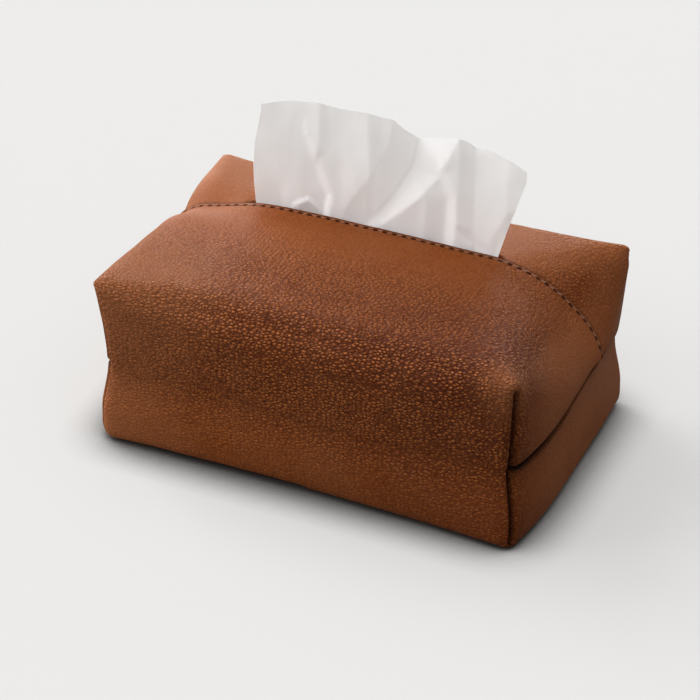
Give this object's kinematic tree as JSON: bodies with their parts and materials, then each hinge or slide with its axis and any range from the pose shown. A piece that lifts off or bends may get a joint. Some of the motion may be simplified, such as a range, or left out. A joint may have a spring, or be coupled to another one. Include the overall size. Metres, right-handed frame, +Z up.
{
  "type": "soft tissue cover",
  "caption": "Soft leather tissue cover: a boxed pouch with a lap seam and slit on top, sewn end and corner seams, a pack of interfolded tissues inside and one tissue drawn up.",
  "frame": {"origin": "centre of the flat underside", "axes": "+X along the length towards the right end, +Y to the rear, +Z up through the slit"},
  "size_m": [0.1913, 0.12, 0.1255],
  "materials": {
    "leather": "pebbled grain, tan",
    "thread": "tan polyester thread",
    "tissue_paper": "soft white tissue"
  },
  "bodies": {
    "cover": {"leather_cover": "leather", "front_left_corner_stitching": "thread", "front_right_corner_stitching": "thread", "rear_left_corner_stitching": "thread", "rear_right_corner_stitching": "thread", "lap_stitching": "thread", "left_end_stitching": "thread", "right_end_stitching": "thread", "tissue_stack": "tissue_paper", "interfolded_tissues": "tissue_paper", "next_tissue": "tissue_paper"},
    "drawn_tissue": {"raised_tissue": "tissue_paper"}
  },
  "joints": [
    {"name": "tissue_pull", "type": "slide", "parent": "cover", "child": "drawn_tissue", "axis": [0, 0, 1], "range_m": [0, 0.12]}
  ]
}
